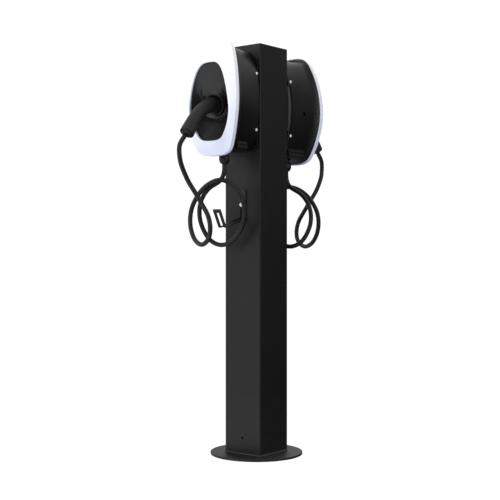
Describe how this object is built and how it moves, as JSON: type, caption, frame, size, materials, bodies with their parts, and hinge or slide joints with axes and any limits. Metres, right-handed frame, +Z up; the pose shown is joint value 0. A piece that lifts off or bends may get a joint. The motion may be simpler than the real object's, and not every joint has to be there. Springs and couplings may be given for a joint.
{
  "type": "ev charging post",
  "caption": "Square steel charging pedestal on a round foot plate, carrying back-to-back wall-box chargers with holstered connectors, hanging cables and strap hooks.",
  "frame": {"origin": "centre of the foot plate's underside, on the floor and on the column's axis", "axes": "+Z up along the column; -Y out of the front charger's face and +Y out of the rear charger's; +X out of the column's right-hand side seen from in front"},
  "size_m": [0.3174, 0.799, 1.397],
  "materials": {
    "foot_paint": "satin black powder coat",
    "post_paint": "satin black powder coat",
    "trim_rubber": "matt",
    "socket_steel": "plain steel",
    "anchor_steel": "zinc plated",
    "lock_steel": "blackened",
    "plate_steel": "light grey zinc finish",
    "casing_black": "fine satin moulding",
    "bezel_white": "soft gloss white",
    "seal_rubber": "matt",
    "fascia_black": "satin moulding",
    "holster_black": "satin moulding",
    "collar_grey": "satin",
    "board_green": "solder mask",
    "contactor_grey": "matt",
    "terminal_cream": "matt",
    "gland_black": "satin",
    "cable_rubber": "satin jacket",
    "grip_black": "satin soft touch",
    "nose_black": "satin",
    "contact_brass": "plated",
    "relief_rubber": "matt",
    "hook_paint": "satin dark powder coat",
    "fastener_bright": "bright"
  },
  "bodies": {
    "post": {"anchor_bolt_1": "anchor_steel", "anchor_bolt_2": "anchor_steel", "anchor_bolt_3": "anchor_steel", "anchor_bolt_4": "anchor_steel", "back_plate_a": "plate_steel", "back_plate_b": "plate_steel", "bezel_a": "bezel_white", "bezel_b": "bezel_white", "bezel_seal_a": "seal_rubber", "bezel_seal_b": "seal_rubber", "cable_coil_a": "cable_rubber", "cable_coil_b": "cable_rubber", "cable_hook_a": "hook_paint", "cable_hook_b": "hook_paint", "casing_a": "casing_black", "casing_b": "casing_black", "column": "post_paint", "column_cap": "post_paint", "contactor_a": "contactor_grey", "contactor_b": "contactor_grey", "control_board_a": "board_green", "control_board_b": "board_green", "fascia_a": "fascia_black", "fascia_b": "fascia_black", "foot_plate": "foot_paint", "foot_socket": "socket_steel", "foot_trim": "trim_rubber", "gland_body_a": "gland_black", "gland_body_b": "gland_black", "gland_nut_a": "gland_black", "gland_nut_b": "gland_black", "holster_a": "holster_black", "holster_b": "holster_black", "holster_collar_a": "collar_grey", "holster_collar_b": "collar_grey", "hook_bolt_a": "fastener_bright", "hook_bolt_b": "fastener_bright", "lock_screw_a": "lock_steel", "lock_screw_b": "lock_steel", "side_screw_lower_l_a": "fastener_bright", "side_screw_lower_l_b": "fastener_bright", "side_screw_lower_r_a": "fastener_bright", "side_screw_lower_r_b": "fastener_bright", "side_screw_upper_l_a": "fastener_bright", "side_screw_upper_l_b": "fastener_bright", "side_screw_upper_r_a": "fastener_bright", "side_screw_upper_r_b": "fastener_bright", "terminal_block_a": "terminal_cream", "terminal_block_b": "terminal_cream"},
    "connector_front": {"grip_a": "grip_black", "plug_nose_a": "nose_black", "contact_block_a": "contact_brass", "strain_relief_a": "relief_rubber", "cable_lead_a": "cable_rubber"},
    "connector_rear": {"grip_b": "grip_black", "plug_nose_b": "nose_black", "contact_block_b": "contact_brass", "strain_relief_b": "relief_rubber", "cable_lead_b": "cable_rubber"}
  },
  "joints": [
    {"name": "connector_front_slide", "type": "slide", "parent": "post", "child": "connector_front", "axis": [0, -0.9744, -0.225], "range_m": [0, 0.12]},
    {"name": "connector_rear_slide", "type": "slide", "parent": "post", "child": "connector_rear", "axis": [0, 0.9744, -0.225], "range_m": [0, 0.12]}
  ]
}
